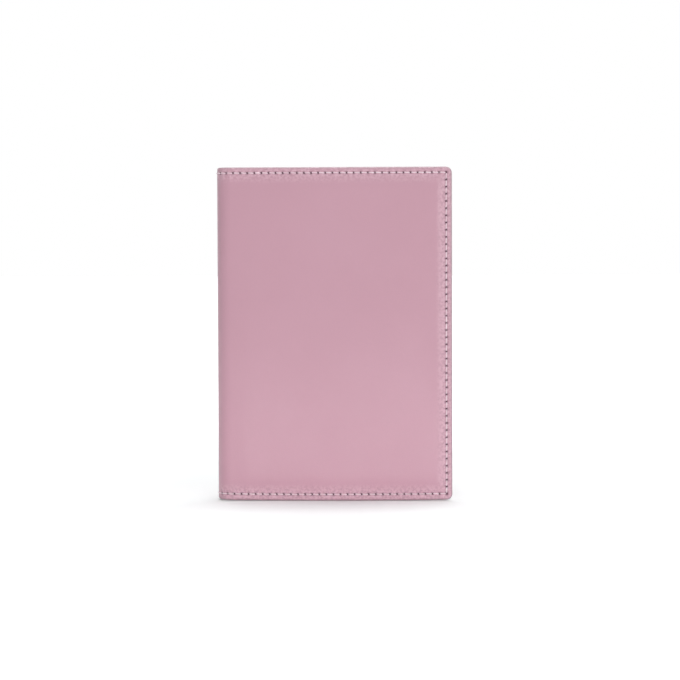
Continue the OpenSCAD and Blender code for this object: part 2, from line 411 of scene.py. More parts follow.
# %% [markdown]
# ## The outer leather
# Soft calf leather is pulled over foam and turned in round the edge, which makes a two-ply border and a
# panel that swells gently above it. Each stitch draws the leather down a little, so the border ripples. All
# of this is height on the cut layer: a bump map alone would leave the outline flat when seen along the face.

# %% The padded panel
SLOPE_START = 2.5  # how far in from the edge the panel starts to rise
SIDE_SLOPE, END_SLOPE = 4.0, 7.5  # its slope is wider along the upper and lower edges
SHOULDER_START, SHOULDER = -2.0, 9.0  # beside the spine, from the end of the roll, it is longer and softer
PANEL_SWELLS = 0.6  # the soft leather stands a little prouder than its solid
SWELL = 0.03  # slow unevenness of the padding
WIDE_SWELL, WIDE_SHIFT = (17, 23), (0.8, 1.9)  # its waves along s and z, and where they start
FINE_SWELL, FINE_SHARE = (9, 13), 0.6


def panel_rise(s, z):
    """The panel's height above the border."""
    edges = (half_s - s, SIDE_SLOPE), (height - z, END_SLOPE), (z, END_SLOPE)
    slopes = [ease((inset - SLOPE_START) / width) for inset, width in edges]
    shoulder = ease((s - roll_s - SHOULDER_START) / SHOULDER)
    wide = np.sin(s / WIDE_SWELL[0] + WIDE_SHIFT[0]) * np.sin(z / WIDE_SWELL[1] + WIDE_SHIFT[1])
    swell = wide + FINE_SHARE * np.sin(s / FINE_SWELL[0] - z / FINE_SWELL[1])
    return (PANEL_SWELLS - SWELL + SWELL * swell) * np.prod(slopes, axis=0) * shoulder


# %% The pull of the stitches
PULL, PULL_W, PULL_WAVE = 0.20, 1.0, 0.4  # the channel along a seam, and how much it eases between holes
PIT, PIT_W, PIT_L = 0.30, 0.26, 0.30  # the pit at a needle hole: depth, half width, half length
RIPPLE, RIPPLE_AT, RIPPLE_W = 0.035, 2.1, 1.3  # the ripple inside of a seam: height, place, half width
UNEVEN_PULL, PULL_SEED = 0.35, 11  # no two stitches are drawn alike
stitch_count = 2 * stitches_s + stitches_z
stitch_pull = 1 + UNEVEN_PULL * np.random.default_rng(PULL_SEED).standard_normal(stitch_count + 2)


def seam_dip(s, z, upright=None):
    """How far the stitches draw a layer in, and the pits at their holes."""
    along, across = seam_place(s, z, upright)
    tug = np.interp(along, np.arange(len(stitch_pull)), stitch_pull)
    wave = np.cos(2 * math.pi * along)
    channel = PULL * bump_at(across, PULL_W) * (1 - PULL_WAVE + PULL_WAVE * wave)
    ripple = RIPPLE * bump_at(across - RIPPLE_AT, RIPPLE_W) * wave * tug
    to_hole = (along - np.round(along)) * STITCH
    pit = PIT * bump_at(across, PIT_W) * bump_at(to_hole, PIT_L)
    return channel + ripple, pit


def hide_face(s, z):
    """The depth of the hide's outer face, without the pits."""
    dip, _ = seam_dip(s, z)
    return dip - panel_rise(s, z)


# %% The rows and cuts of the outer leather
HIDE_T = 1.0
EDGE_T = 1.75  # two plies at the turned edge
EDGE_REACH = 1.0  # how far in from the edge its roll starts
HEM_W, HEM_STEP = 6.0, 0.05  # the turned-in hem, and the step from its end to the bare underside
ROLL_ENDS = 4  # cuts lie closer as far as this many stitches from the middle of the spine
ROLL_CUT, COVER_CUT = 0.25, 0.5  # in stitches
near_spine = np.array([0, 0.04, 0.1, 0.2, 0.35, 0.55, 0.78])
roll_cuts = np.arange(1, ROLL_ENDS, ROLL_CUT)
cover_cuts = np.arange(ROLL_ENDS, stitches_s + COVER_CUT, COVER_CUT)
hide_across = np.concatenate((near_spine, roll_cuts, cover_cuts)) / stitches_s
hide_up = np.arange(0, stitches_z + COVER_CUT, COVER_CUT) / stitches_z
hide_rect = 0, half_s, 0, height
hide_rows = layer_rows(
    face_insets=[7.2, 6.4, 5.7, 5.1, 4.6, 4.1, 3.7, 3.4, 3.15, 2.95, 2.8, 2.68, 2.56, 2.44, 2.32, 2.2, 2.05,
                 1.85, 1.6, 1.3],
    edge=rolled_edge(EDGE_T, HIDE_STEPS, EDGE_REACH),
    rear_insets=[1.3, 1.9, 2.3, 2.8, 4.2, HEM_W],
)
hide_rows.append((HEM_W + HEM_STEP, UNDERSIDE))
print(f"{len(hide_rows)} rows, {len(hide_across)} cuts across, {len(hide_up)} up")

# %% Cut the two halves of the outer leather
HIDE_CORNER = 2.6
EDGE_DARKENS = 1.05  # how far in from the edge the leather is darker


def leather_masks(layer, darkening, upright=None):
    """What the finish of a leather needs to know of each point."""
    along, across = seam_place(layer.s, layer.z, upright)
    return {
        "along": along,
        "across": across,
        "edge": 1 - ease(layer.inset / darkening),
        "outside": (layer.lift == FACE) * 1.0,
    }


def cut_hide(name, back, *nodes):
    layer = Layer(hide_rect, HIDE_CORNER, hide_rows, hide_across, hide_up, open_left=True)
    dip, pit = seam_dip(layer.s, layer.z)
    face = dip + pit * (layer.lift == FACE) - panel_rise(layer.s, layer.z)
    hem = np.minimum(layer.lift, REAR)
    depth = np.where(layer.lift == UNDERSIDE, face + HIDE_T, face * (1 - hem) + EDGE_T * hem)
    piece = make_layer(name, layer, depth, back, leather_masks(layer, EDGE_DARKENS))
    return carry(piece, back, "outer_leather", *nodes, crosses_spine=True)


outer_leather = [
    cut_hide("outer_leather_front_half", False, "front_outer_leather", "spine_outer_leather"),
    cut_hide("outer_leather_back_half", True, "back_outer_leather"),
]

# %% [markdown]
# ## Foam and board
# A thin sheet of foam under the hide gives the panel its soft swell, and a board behind it keeps the cover
# flat. The foam is cut like any other layer and follows the underside of the hide. The boards are plain
# rigid sheets, so the solids stay and only get a finish.

# %% Cut the foam
FOAM_CORNER = 1.8
FOAM_INSETS = [2.4, 1.2]


def cut_foam(name, back, node):
    low, high = flat_box(node, back)
    rows = layer_rows(FOAM_INSETS, rolled_edge(high[1] - low[1]), FOAM_INSETS[::-1])
    layer = Layer(box_rect(low, high), FOAM_CORNER, rows)
    crown = hide_face(layer.s, layer.z) + HIDE_T
    piece = make_layer(name, layer, crown * (1 - layer.lift) + high[1] * layer.lift, back)
    return carry(piece, back, "foam", node)


foam = [cut_foam(f"{side}_foam", side == "back", f"{side}_foam_padding") for side in ("front", "back")]

# %% [markdown]
# ## Lining and spine tape
# A twill lining covers the inside of both boards and runs on round the spine, over a strip of tape that
# keeps the fold from stretching. Both are cloth under slight tension, so they are cut as thin closed layers
# that follow what they are glued to, and no simulation is needed.

# %% Cut the lining
LINING_T = 0.4
LINING_DROP, LINING_STEP = 0.55, 3.0  # in the roll it lies nearer the hide, and rises over this length
LINING_CORNER = 2.0
lining_rows = layer_rows([2.4, 1.5, 0.8], rolled_edge(LINING_T, THIN_STEPS), [0.8, 2.4])
cover_low, cover_high = flat_box("front_lining")


def lining_face(s):
    """The depth of the lining's open face."""
    on_cover = ease((s - roll_s) / LINING_STEP)
    return cover_high[1] - LINING_DROP * (1 - on_cover)


def cut_lining(name, back, *nodes):
    rect = 0, cover_high[0], cover_low[2], cover_high[2]
    layer = Layer(rect, LINING_CORNER, lining_rows, hide_across, hide_up, open_left=True)
    piece = make_layer(name, layer, lining_face(layer.s) - LINING_T * layer.lift, back)
    return carry(piece, back, "lining", *nodes, crosses_spine=True)


lining = [
    cut_lining("lining_front_half", False, "front_lining", "spine_lining"),
    cut_lining("lining_back_half", True, "back_lining"),
]

# %% Cut the spine tape
TAPE_T = 0.18
TAPE_HALF_W = 5.2
TAPE_INSET = 6.0  # from the upper and the lower edge
TAPE_CORNER = 0.5
GLUE = 0.01  # between the hide and the tape
tape_rect = 0, TAPE_HALF_W, TAPE_INSET, height - TAPE_INSET
tape_rows = layer_rows([0.8, 0.4], rolled_edge(TAPE_T, THIN_STEPS), [0.4, 0.8])


def cut_tape(name, back, *nodes):
    layer = Layer(tape_rect, TAPE_CORNER, tape_rows, open_left=True)
    piece = make_layer(name, layer, HIDE_T + GLUE + TAPE_T * (1 - layer.lift), back)
    return carry(piece, back, "tape", *nodes, crosses_spine=True)


tape = [cut_tape("spine_tape_front_half", False, "spine_tape"), cut_tape("spine_tape_back_half", True)]

# %% [markdown]
# ## Pockets
# The front holds a full-height slip pocket with three stepped card leaves on it, the back a sleeve for the
# passport's cover. They are thinner leather, sewn in with the border. Their mouths are free, so they stand
# off the lining a little, and a heated crease runs just inside each mouth. A thin box with a bevel would
# look stiff, so they are cut like the hide and dip at the same stitches.

# %% The slip pocket and the passport sleeve
POCKET_T = 0.7
SLIP_ROOM = 0.5
PRESSED, RISEN = 3.0, 10.0  # from the edge: flat under the seam, risen further in
CREASE, CREASE_AT, CREASE_W = 0.08, 1.5, 0.3  # the heated crease: depth, way from the mouth, half width
POCKET_CORNER = 1.6
POCKET_EDGE_DARKENS = 1.0
POCKET_DIP, POCKET_PIT = 0.5, 0.6  # shares of the hide's dips and pits
pocket_rows = layer_rows([4.6, 3.8, 3.2, 2.7, 2.2, 1.8, 1.5, 1.2, 0.9, 0.7, 0.5], rolled_edge(POCKET_T),
                         [0.7, 1.5, 3.0])


def pocket_face(s, z):
    """The depth of a pocket panel's open face."""
    sewn = [ease((inset - PRESSED) / (RISEN - PRESSED)) for inset in (half_s - s, height - z, z)]
    return cover_high[1] + POCKET_T + SLIP_ROOM * np.prod(sewn, axis=0)


def cut_pocket(name, back, node, thread):
    """A pocket panel whose spine side is its mouth, and the seam beside the mouth."""
    low, high = flat_box(node, back)
    seam_start, seam_end = flat_box(thread, back)
    upright = (seam_start[0] + seam_end[0]) / 2, seam_start[2], seam_end[2]
    layer = Layer(box_rect(low, high), POCKET_CORNER, pocket_rows)
    dip, pit = seam_dip(layer.s, layer.z, upright)
    crease = CREASE * bump_at(layer.s - low[0] - CREASE_AT, CREASE_W)
    base = pocket_face(layer.s, layer.z) - POCKET_DIP * dip
    depth = np.where(layer.lift == FACE, base - crease - POCKET_PIT * pit, base - POCKET_T * layer.lift)
    piece = make_layer(name, layer, depth, back, leather_masks(layer, POCKET_EDGE_DARKENS, upright))
    return carry(piece, back, "pocket_leather", node), upright


slip_pocket, slip_seam = cut_pocket("slip_pocket", False, "front_slip_pocket", "slip_pocket_thread")
passport_sleeve, sleeve_seam = cut_pocket("passport_sleeve", True, "back_passport_sleeve",
                                          "sleeve_mouth_thread")

# %% The stepped card leaves
LEAF_T = 0.45
LEAF_CORNER = 1.2
LEAF_PIT = 0.5
LEAVES = ["card_slot_upper", "card_slot_middle", "card_slot_lower"]
DROOP = 10.0  # below the leaf under it, a leaf sinks back to the pocket over this length
leaf_boxes = [flat_box(node) for node in LEAVES]
leaf_rows = layer_rows([4.6, 3.6, 2.8, 2.2, 1.8, 1.5, 1.2, 0.9, 0.6, 0.4], rolled_edge(LEAF_T, THIN_STEPS),
                       [0.6, 1.6, 3.0])


def leaf_back(index, s, z):
    """The depth of a leaf's back: it lies on the leaf before it, and sinks where that one ends."""
    depth = pocket_face(s, z)
    for low, _ in leaf_boxes[:index]:
        depth = depth + LEAF_T * ease((z - low[2] + DROOP / 2) / DROOP)
    return depth


def cut_leaf(index, node):
    low, high = leaf_boxes[index]
    layer = Layer(box_rect(low, high), LEAF_CORNER, leaf_rows)
    dip, pit = seam_dip(layer.s, layer.z, slip_seam)
    crease = CREASE * bump_at(high[2] - layer.z - CREASE_AT, CREASE_W)
    base = leaf_back(index, layer.s, layer.z) - POCKET_DIP * dip
    depth = base + LEAF_T * (1 - layer.lift) - (crease + LEAF_PIT * pit) * (layer.lift == FACE)
    masks = leather_masks(layer, POCKET_EDGE_DARKENS, slip_seam)
    piece = make_layer(node.replace("slot", "leaf"), layer, depth, masks=masks)
    return carry(piece, False, "pocket_leather", node)


card_leaves = [cut_leaf(index, node) for index, node in enumerate(LEAVES)]

# %% [markdown]
# ## Thread
# A saddle seam shows as a row of short bars, each of which dives into a needle hole at both ends. The
# thread is two plies twisted together. A curve with a round bevel would lose that twist, so each bar is a
# tube whose two-lobed section turns as it goes along.

# %% A row of stitches
THREAD_R = 0.26
STITCH_ARCH = 0.16  # how far the middle of a bar stands above the leather
STITCH_DIVE, DIVE_SHARE = 1.15, 0.23  # how deep its ends go, and over which share of the bar
PLY_DEPTH = 0.22  # of the groove between the two plies, as a share of the radius
TWIST_TURNS = 1.5
BAR_SLANT = 0.07
BAR_SIDES, OUTER_RINGS, INNER_RINGS = 8, 15, 11


def stitch_bars(holes, surface, out, sides, rings):
    """Flat points and faces of one bar between each hole and the next. Out is -1 on the outer face."""
    t = np.linspace(0, 1, rings)
    turn = 2 * math.pi * np.arange(sides) / sides
    height_at = -STITCH_DIVE + (STITCH_ARCH + STITCH_DIVE) * ease(np.minimum(t, 1 - t) / DIVE_SHARE)
    section = turn[None, :] - 2 * math.pi * TWIST_TURNS * t[:, None]
    radius = THREAD_R * (1 - PLY_DEPTH * np.sin(section) ** 2)
    points, faces = [], []
    for start, end in zip(holes[:-1], holes[1:]):
        along = (end - start) / np.linalg.norm(end - start)
        side = np.array([-along[1], along[0]])
        s_z = start + np.outer(t, end - start) + np.outer(BAR_SLANT * np.cos(math.pi * t), side)
        depth = surface(s_z[:, 0], s_z[:, 1]) + out * height_at
        line = np.column_stack((s_z[:, 0], depth, s_z[:, 1]))
        tangent = np.gradient(line, axis=0)
        tangent /= np.linalg.norm(tangent, axis=1, keepdims=True)
        across = np.array([side[0], 0, side[1]])
        up = np.cross(tangent, across)
        circle = np.cos(turn)[None, :, None] * across + np.sin(turn)[None, :, None] * up[:, None]
        first = len(points) * rings * sides
        points.append((line[:, None] + radius[..., None] * circle).reshape(-1, 3))
        for i in range(rings - 1):
            for k in range(sides):
                a, b = first + i * sides + k, first + i * sides + (k + 1) % sides
                faces.append([a, b, b + sides, a + sides])
        faces.append(list(range(first, first + sides)))
        faces.append(list(range(first + (rings - 1) * sides, first + rings * sides)))
    return np.vstack(points), faces


def both_faces(holes, outer, inner):
    """Bars on two faces of the same row of holes, as one set of points and faces."""
    near, near_faces = stitch_bars(holes, outer, -1, BAR_SIDES, OUTER_RINGS)
    far, far_faces = stitch_bars(holes, inner, 1, BAR_SIDES, INNER_RINGS)
    return np.vstack((near, far)), near_faces + [[i + len(near) for i in face] for face in far_faces]


# %% What lies under a seam
def under_pocket(s, z):
    return pocket_face(s, z) - POCKET_T


def border_inside(back):
    """The depth of the innermost layer under the border's seam."""
    pocket_low, _ = flat_box("back_passport_sleeve" if back else "front_slip_pocket", back)

    def surface(s, z):
        depth = np.where(s > pocket_low[0], pocket_face(s, z), lining_face(s))
        if not back:
            for index, (leaf_low, leaf_high) in enumerate(leaf_boxes):
                on_leaf = (s > leaf_low[0]) & (z > leaf_low[2]) & (z < leaf_high[2])
                depth = np.where(on_leaf, leaf_back(index, s, z) + LEAF_T, depth)
        return depth

    return surface


# %% Sew the border, the card leaves and the sleeve's mouth
END_SLACK = 0.4  # share of a stitch by which a seam may run past its end


def row(start, end, count):
    """Holes at even steps."""
    return np.linspace(start, end, count + 1)


border_holes = np.vstack((
    row((0, seam_high), (seam_s, seam_high), stitches_s),
    row((seam_s, seam_high), (seam_s, seam_low), stitches_z)[1:],
    row((seam_s, seam_low), (0, seam_low), stitches_s)[1:],
))


def sew_border(name, back, *nodes):
    points, faces = both_faces(border_holes, hide_face, border_inside(back))
    piece = make_piece(name, points, faces, back)
    return carry(piece, back, "thread", *nodes, crosses_spine=True)


def sew_upright(name, back, upright, node):
    at, low, high = upright
    first = math.ceil((low - seam_low) / pitch_z - END_SLACK)
    count = math.floor((high - seam_low) / pitch_z + END_SLACK) - first
    z = seam_low + first * pitch_z
    holes = row((at, z), (at, z + count * pitch_z), count)
    points, faces = both_faces(holes, under_pocket, border_inside(back))
    return carry(make_piece(name, points, faces, back), back, "thread", node)


thread = [
    sew_border("border_seam_front_half", False, "front_seam_thread", "spine_seam_thread"),
    sew_border("border_seam_back_half", True, "back_seam_thread"),
    sew_upright("card_leaf_seam", False, slip_seam, "slip_pocket_thread"),
    sew_upright("sleeve_mouth_seam", True, sleeve_seam, "sleeve_mouth_thread"),
]

# %% [markdown]
# ## Finishes: shared effects
# Grain, slow drift of tone, darker edges, needle holes and weave turn up in several finishes. Each is a
# node group that is built once and placed in a material with its own values. Texture places come from the
# hide itself, so the grain goes round the spine without a stretch and stays put when the holder opens.


# %% Node helpers
def add(tree, kind, values=None, **settings):
    """A new node. A value that is a socket becomes a link."""
    node = tree.nodes.new(kind)
    for key, value in settings.items():
        setattr(node, key, value)
    for key, value in (values or {}).items():
        if isinstance(value, bpy.types.NodeSocket):
            tree.links.new(value, node.inputs[key])
        else:
            node.inputs[key].default_value = value
    return node


def calc(tree, operation, a, b=0.0):
    return add(tree, "ShaderNodeMath", {0: a, 1: b}, operation=operation).outputs[0]


def times(tree, a, b):
    return calc(tree, operation="MULTIPLY", a=a, b=b)


def vector(tree, operation, a, b=(0, 0, 0)):
    return add(tree, "ShaderNodeVectorMath", {0: a, 1: b}, operation=operation).outputs


def scaled(tree, place, factor):
    values = {0: place, "Scale": factor}
    return add(tree, "ShaderNodeVectorMath", values, operation="SCALE").outputs["Vector"]


def remap(tree, value, low, high, to_low, to_high):
    values = {"Value": value, "From Min": low, "From Max": high, "To Min": to_low, "To Max": to_high}
    return add(tree, "ShaderNodeMapRange", values).outputs["Result"]


def blend_colour(tree, factor, a, b):
    return add(tree, "ShaderNodeMix", {0: factor, 6: a, 7: b}, data_type="RGBA").outputs[2]


def noise(tree, place, scale, detail=2.0, roughness=0.5):
    values = {"Vector": place, "Scale": scale, "Detail": detail, "Roughness": roughness}
    return add(tree, "ShaderNodeTexNoise", values).outputs["Fac"]


# %% A node group, and its place in a material
SOCKETS = {"Hide": "NodeSocketVector", "Deep": "NodeSocketColor", "Pale": "NodeSocketColor",
           "Color": "NodeSocketColor"}  # every other socket is a value


def effect(name, inputs, outputs):
    """An empty node group, its input sockets and a function that sets its outputs."""
    tree = bpy.data.node_groups.new(name, "ShaderNodeTree")
    for way, labels in (("INPUT", inputs), ("OUTPUT", outputs)):
        for label in labels:
            kind = SOCKETS.get(label, "NodeSocketFloat")
            tree.interface.new_socket(label, in_out=way, socket_type=kind)
    exits = tree.nodes.new("NodeGroupOutput").inputs
    given = tree.nodes.new("NodeGroupInput").outputs

    def put(label, value):
        tree.links.new(value, exits[label])

    print("effect:", name)
    return tree, given, put


def place_effect(tree, group, values):
    return add(tree, "ShaderNodeGroup", values, node_tree=group).outputs


def in_steps(tree, place, size):
    """A place counted in steps of the given size."""
    return scaled(tree, place, calc(tree, "DIVIDE", 1.0, size))


# %% Grain
ROUGH_NOISE = 3.0, 0.6  # detail and roughness
DRIFT_SCALE, DRIFT = 0.7, 0.35  # a slow noise moves the pebbles about by this share of their size
CREASE_REACH, DOME_REACH = 0.22, 0.45  # how far in from its rim a pebble's crease and dome reach
FINE_SCALE, FINE_HEIGHT = 3.1, 0.5
WRINKLE_SCALE, MOTTLE_SCALE = 0.7, 0.35


def grain_effect():
    """Small pebbles with creases between them. Pebble is their size in metres."""
    tree, given, put = effect("Leather Grain", ["Hide", "Pebble"], ["Height", "Crease", "Wrinkle", "Mottle"])
    place = in_steps(tree, given["Hide"], given["Pebble"])
    slow = add(tree, "ShaderNodeTexNoise", {"Vector": place, "Scale": DRIFT_SCALE, "Detail": 2.0})
    moved = vector(tree, "ADD", place, scaled(tree, slow.outputs["Color"], DRIFT))["Vector"]
    cells = add(tree, "ShaderNodeTexVoronoi", {"Vector": moved, "Scale": 1.0}, feature="DISTANCE_TO_EDGE")
    rim = cells.outputs["Distance"]
    dome = remap(tree, rim, 0.0, DOME_REACH, 0.0, 1.0)
    fine = times(tree, noise(tree, place, FINE_SCALE, *ROUGH_NOISE), FINE_HEIGHT)
    put("Height", calc(tree, "ADD", dome, fine))
    put("Crease", remap(tree, rim, 0.0, CREASE_REACH, 1.0, 0.0))
    put("Wrinkle", noise(tree, place, WRINKLE_SCALE))
    put("Mottle", noise(tree, place, MOTTLE_SCALE, *ROUGH_NOISE))
    return tree


leather_grain = grain_effect()

# %% Drift of tone and darker edges
NOISE_RANGE = 0.3, 0.7  # where most of a noise lies
BROKEN_NOISE = 4.0, 0.65  # detail and roughness
BROKEN_RANGE, LEAST_DARKENING = (0.35, 0.65), 0.55


def tone_effect():
    """A colour that drifts slowly between a deep and a pale one. Patch is a size in metres."""
    tree, given, put = effect("Tone Drift", ["Hide", "Patch", "Deep", "Pale"], ["Color"])
    place = in_steps(tree, given["Hide"], given["Patch"])
    slow = remap(tree, noise(tree, place, 1.0), *NOISE_RANGE, 0.0, 1.0)
    put("Color", blend_colour(tree, slow, given["Deep"], given["Pale"]))
    return tree


def darker_edge_effect():
    """Where an edge is darker, from the edge mask and a broken-up noise."""
    tree, given, put = effect("Darker Edge", ["Hide", "Edge", "Patch"], ["Mask"])
    place = in_steps(tree, given["Hide"], given["Patch"])
    broken = remap(tree, noise(tree, place, 1.0, *BROKEN_NOISE), *BROKEN_RANGE, LEAST_DARKENING, 1.0)
    put("Mask", times(tree, given["Edge"], broken))
    return tree


tone_drift, darker_edge = tone_effect(), darker_edge_effect()

# %% Needle holes
HOLE_LONG, HOLE_WIDE = 0.55, 0.47  # half the length and half the width of a needle hole, in millimetres
HOLE_EDGE, SHADE_EDGE = (0.45, 1.3), (0.8, 5.0)  # where both fade, in squares of the hole's size


def hole_effect():
    """Needle holes at each whole number of stitches along a seam, painted dark as shade, with painted shade
    round them.
    """
    tree, given, put = effect("Needle Holes", ["Along", "Across", "Shown"], ["Hole", "Shade"])
    nearest = calc(tree, "ROUND", given["Along"])
    offset = times(tree, calc(tree, "SUBTRACT", given["Along"], nearest), STITCH)
    long_way = calc(tree, "POWER", calc(tree, "DIVIDE", offset, HOLE_LONG), 2.0)
    short_way = calc(tree, "POWER", calc(tree, "DIVIDE", given["Across"], HOLE_WIDE), 2.0)
    away = calc(tree, "ADD", long_way, short_way)
    for label, fade in (("Hole", HOLE_EDGE), ("Shade", SHADE_EDGE)):
        put(label, times(tree, remap(tree, away, *fade, 1.0, 0.0), given["Shown"]))
    return tree


needle_holes = hole_effect()

# %% Weave
TWILL_SLANT = 0.55
RIB_HEIGHT, THREAD_HEIGHT = 0.6, 0.3
THREADS_PER_RIB = 2.3
GAP_RANGE = -0.9, 0.1  # heights: the painted shade in the gaps is full at the lower one


def weave_effect():
    """A twill: diagonal ribs crossed by fine threads. Pitch is a rib's width in metres."""
    tree, given, put = effect("Cloth Weave", ["Hide", "Pitch"], ["Height", "Gap"])
    turns = calc(tree, "DIVIDE", 2 * math.pi, given["Pitch"])
    parts = add(tree, "ShaderNodeSeparateXYZ", {0: given["Hide"]}).outputs
    diagonal = calc(tree, "ADD", parts[0], times(tree, parts[1], TWILL_SLANT))
    rib = calc(tree, "SINE", times(tree, diagonal, turns))
    thread_turns = times(tree, turns, THREADS_PER_RIB)
    cross = calc(tree, "SINE", times(tree, parts[1], thread_turns))
    woven = calc(tree, "ADD", times(tree, rib, RIB_HEIGHT), times(tree, cross, THREAD_HEIGHT))
    put("Height", woven)
    put("Gap", remap(tree, woven, *GAP_RANGE, 1.0, 0.0))
    return tree


cloth_weave = weave_effect()

# %% [markdown]
# ## Finishes: the leathers
# The outer leather is a dusty pink calf with a satin finish: a fine grain that only just shows, an edge that
# is a little darker and needle holes painted dark as shade. Near a seam the stitches draw the grain up, so
# it is coarser there; its raised wrinkles are painted paler, as a highlight, and its low wrinkles and
# creases darker, as shade. All of this comes from noise and from the numbers stored on the points, so no
# picture is needed and nothing repeats. The pocket leather is the same hide, thinner and a touch duller.


# %% A material with its shader and places
def finish(name, **constants):
    """A new material with its Principled shader, and constant values on the shader's own sockets."""
    material = bpy.data.materials.new(name)
    material.use_nodes = True
    tree = material.node_tree
    shader = tree.nodes["Principled BSDF"]
    for socket, value in constants.items():
        shader.inputs[socket.replace("_", " ")].default_value = value
    print("finish:", name)
    return material, tree, shader


def mask(tree, name):
    return add(tree, "ShaderNodeAttribute", attribute_name=name).outputs["Fac"]


def hide_place(tree):
    return add(tree, "ShaderNodeAttribute", attribute_name="hide").outputs["Vector"]


def drifting(tree, place, patch, deep, pale):
    """A colour that drifts over patches of the given size, in metres."""
    values = {"Hide": place, "Patch": patch, "Deep": deep, "Pale": pale}
    return place_effect(tree, tone_drift, values)["Color"]


def connect(tree, shader, colour, rough, layers):
    """Links colour, roughness and a row of bumps: each a height, a depth in metres and a strength."""
    tree.links.new(colour, shader.inputs["Base Color"])
    tree.links.new(rough, shader.inputs["Roughness"])
    normal = None
    for height_value, distance, strength in layers:
        values = {"Height": height_value, "Distance": distance, "Strength": strength}
        node = add(tree, "ShaderNodeBump", values)
        if normal is not None:
            tree.links.new(normal, node.inputs["Normal"])
        normal = node.outputs["Normal"]
    tree.links.new(normal, shader.inputs["Normal"])


# %% Leather
LEATHER_PATCH, EDGE_PATCH = 0.035, 0.002  # in metres: the drift of tone, and the breaks in a darker edge
PULLED_NEAR = 0.8, 4.5  # from a seam: the grain is drawn up near it and lies flat further in
PULLED_GRAIN = 6.0  # how much higher the drawn grain stands
UPPER_UNEVEN = 0.35  # along the upper seam it is smoother
UPPER_END = stitches_s - 1, stitches_s + 3  # where that ends, in stitches along
GLINT_RANGE, GLINT_SHARE = (0.40, 0.62), 0.7  # painted highlight: wrinkles that stand up are painted paler, as glints
SUNK, SUNK_SHADE = (0.34, 0.50), 0.25  # painted shade: wrinkles that lie low are painted darker
# shares of the darker tint: painted shade in the creases, the darker edge, and painted shade round the
# needle holes
CREASE_SHADE, EDGE_DARK, SHADE_DARK = 0.06, 0.9, 0.25
GLOSS_DRIFT = -0.03, 0.06  # how far the roughness goes below and above its value
EDGE_SMOOTH, HOLE_MATT = 0.02, 0.3
MOTTLE_DEPTH, WRINKLE_DEPTH, GRAIN_DEPTH = 0.00003, 0.00018, 0.000012  # in metres


def leather(name, deep, pale, glint_tint, darkening, hole_shade, pebble, rough):
    material, tree, shader = finish(name, Specular_IOR_Level=0.5, Sheen_Weight=0.05, Sheen_Roughness=0.4)
    place = hide_place(tree)
    along, across = mask(tree, "along"), mask(tree, "across")
    grain = place_effect(tree, leather_grain, {"Hide": place, "Pebble": pebble})
    colour = drifting(tree, place, LEATHER_PATCH, deep, pale)
    darker_rim = place_effect(tree, darker_edge, {"Hide": place, "Edge": mask(tree, "edge"), "Patch": EDGE_PATCH})
    holes = place_effect(tree, needle_holes,
                         {"Along": along, "Across": across, "Shown": mask(tree, "outside")})

    pulled = remap(tree, calc(tree, "ABSOLUTE", across), *PULLED_NEAR, 1.0, 0.0)
    uneven = times(tree, pulled, remap(tree, along, *UPPER_END, UPPER_UNEVEN, 1.0))
    # painted highlight: near a seam the raised wrinkles are painted paler, as glints
    raised_glint = times(tree, remap(tree, grain["Wrinkle"], *GLINT_RANGE, 0.0, GLINT_SHARE), pulled)
    # painted shade: the low wrinkles and the creases between the pebbles are painted darker
    sunk_shade = times(tree, remap(tree, grain["Wrinkle"], *SUNK, SUNK_SHADE, 0.0), uneven)
    crease_shade = calc(tree, "ADD", times(tree, grain["Crease"], CREASE_SHADE), sunk_shade)
    # the leather is darker towards its rolled edge, broken up by noise
    rim_share, shade = times(tree, darker_rim["Mask"], EDGE_DARK), times(tree, holes["Shade"], SHADE_DARK)
    # painted shade: the needle holes and a soft ring round each are painted dark
    tints = (raised_glint, glint_tint), (crease_shade, darkening), (rim_share, darkening), (shade, hole_shade), (holes["Hole"], hole_shade)
    for share, tint in tints:
        colour = blend_colour(tree, share, colour, tint)

    gloss = remap(tree, grain["Mottle"], *NOISE_RANGE, *(rough + drift for drift in GLOSS_DRIFT))
    gloss = calc(tree, "SUBTRACT", gloss, times(tree, darker_rim["Mask"], EDGE_SMOOTH))
    gloss = calc(tree, "ADD", gloss, times(tree, holes["Hole"], HOLE_MATT))

    wrinkles = times(tree, grain["Wrinkle"], uneven)
    pebbles = times(tree, grain["Height"], remap(tree, pulled, 0.0, 1.0, 1.0, PULLED_GRAIN))
    bumps = (grain["Mottle"], MOTTLE_DEPTH), (wrinkles, WRINKLE_DEPTH), (pebbles, GRAIN_DEPTH)
    connect(tree, shader, colour, gloss, [(*bump, 1.0) for bump in bumps])
    return material


outer_finish = leather("outer_leather", deep=(0.587, 0.319, 0.397, 1), pale=(0.600, 0.330, 0.410, 1),
                       glint_tint=(0.740, 0.475, 0.565, 1), darkening=(0.36, 0.262, 0.290, 1),
                       hole_shade=(0.10, 0.030, 0.055, 1), pebble=0.00075, rough=0.335)
pocket_finish = leather("pocket_leather", deep=(0.520, 0.300, 0.365, 1), pale=(0.565, 0.335, 0.402, 1),
                        glint_tint=(0.600, 0.370, 0.440, 1), darkening=(0.40, 0.235, 0.285, 1),
                        hole_shade=(0.11, 0.035, 0.06, 1), pebble=0.00045, rough=0.52)

# %% [markdown]
# ## Finishes: thread, lining, tape, foam and board
# The thread is paler than the leather and a little shiny. The lining is a tone-on-tone twill, the tape a
# coarser cloth of the same weave, the foam has open cells and the board is grey pressed fibre. They could
# each have a shader of their own, but cloth differs from cloth only in colours and sizes, and so does foam
# from board, so each pair is made by one function.

# %% Thread
THREAD_PATCH = 0.004
FIBRES = 9000.0  # in a metre
FIBRE_ROUGH = 0.45, 0.65
FIBRE_DEPTH, FIBRE_STRENGTH = 0.00002, 0.5


